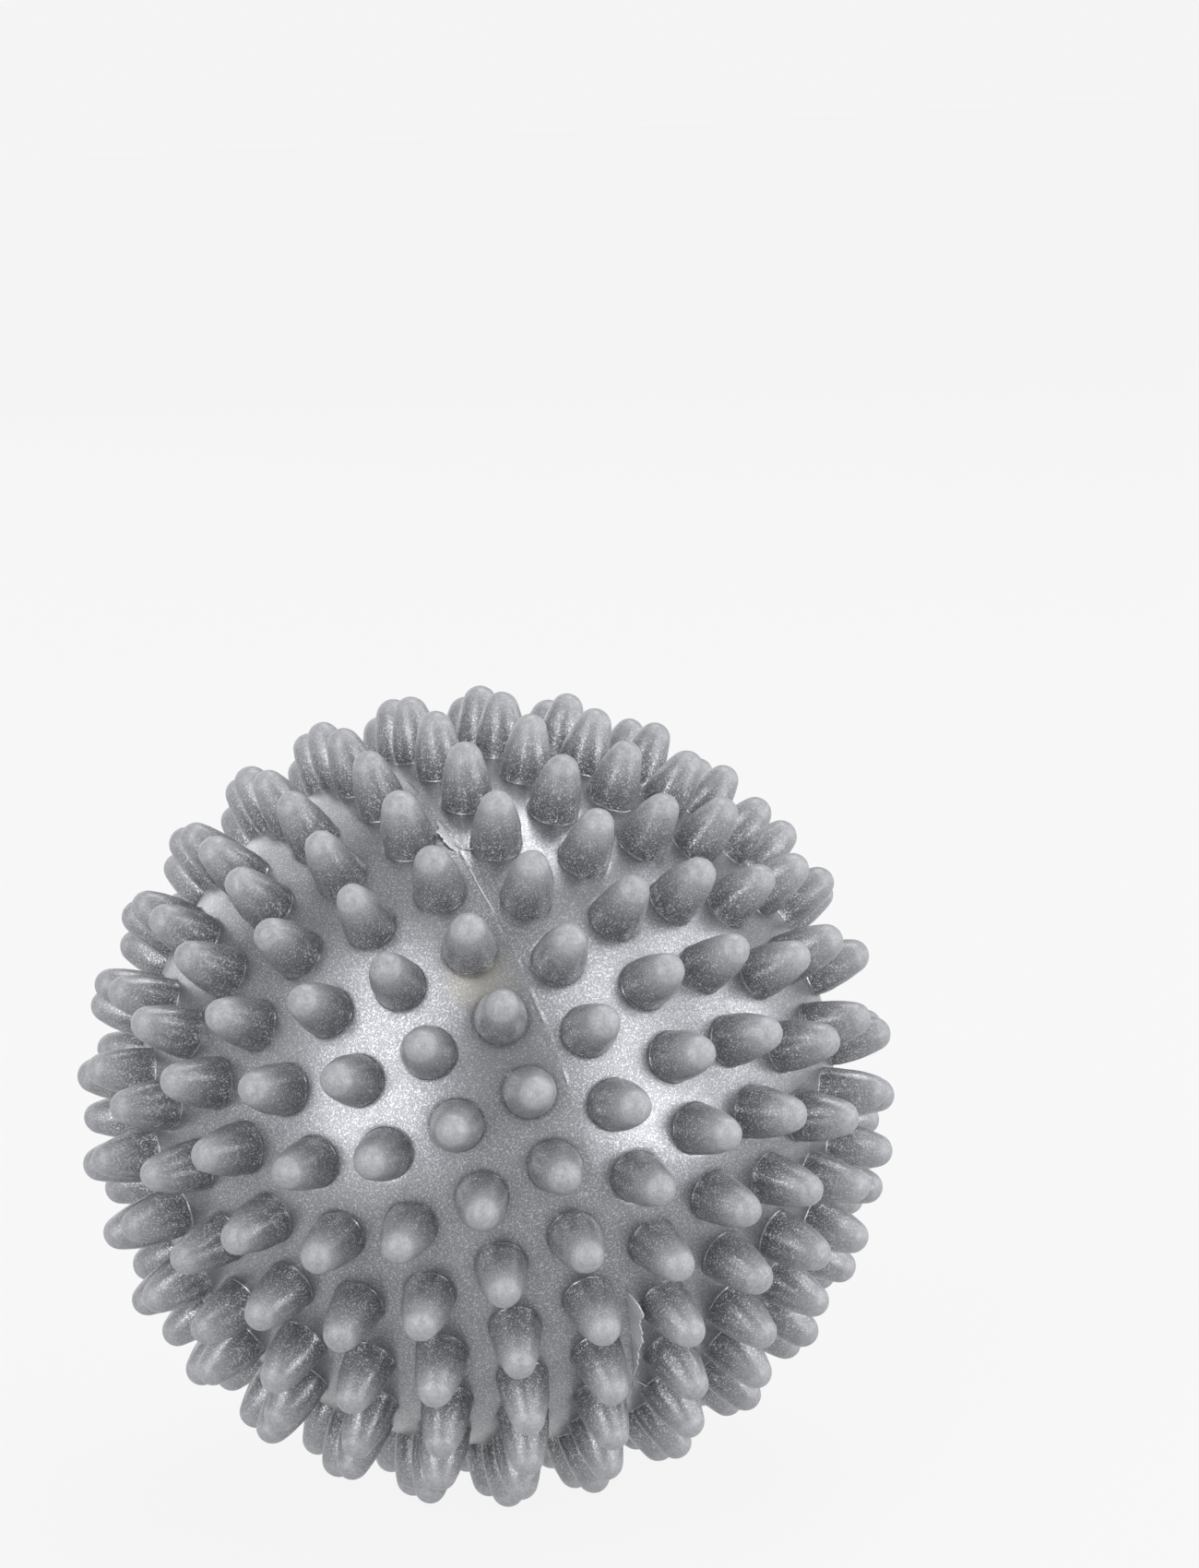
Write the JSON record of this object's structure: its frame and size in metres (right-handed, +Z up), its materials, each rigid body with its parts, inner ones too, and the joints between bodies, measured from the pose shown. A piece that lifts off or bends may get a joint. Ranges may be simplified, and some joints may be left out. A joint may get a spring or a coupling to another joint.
{
  "type": "dryer ball",
  "caption": "Hollow spiky laundry dryer ball: two soft plastic half shells with moulded nubs, joined tongue in groove and welded round the seam.",
  "frame": {"origin": "the ball's centre", "axes": "+Z up with the ball resting on three nub tips; the mould axis, square to the seam, leans up from +X towards +Z"},
  "size_m": [0.0696, 0.0692, 0.0692],
  "materials": {
    "right_half_shell": "satin grey with a fine silvery grain, soft PVC",
    "left_half_shell": "satin grey with a fine silvery grain, soft PVC",
    "seam_weld": "satin, a little paler than the shells"
  },
  "bodies": {
    "root": {"right_half_shell": "right_half_shell", "left_half_shell": "left_half_shell", "seam_weld": "seam_weld"}
  },
  "joints": []
}
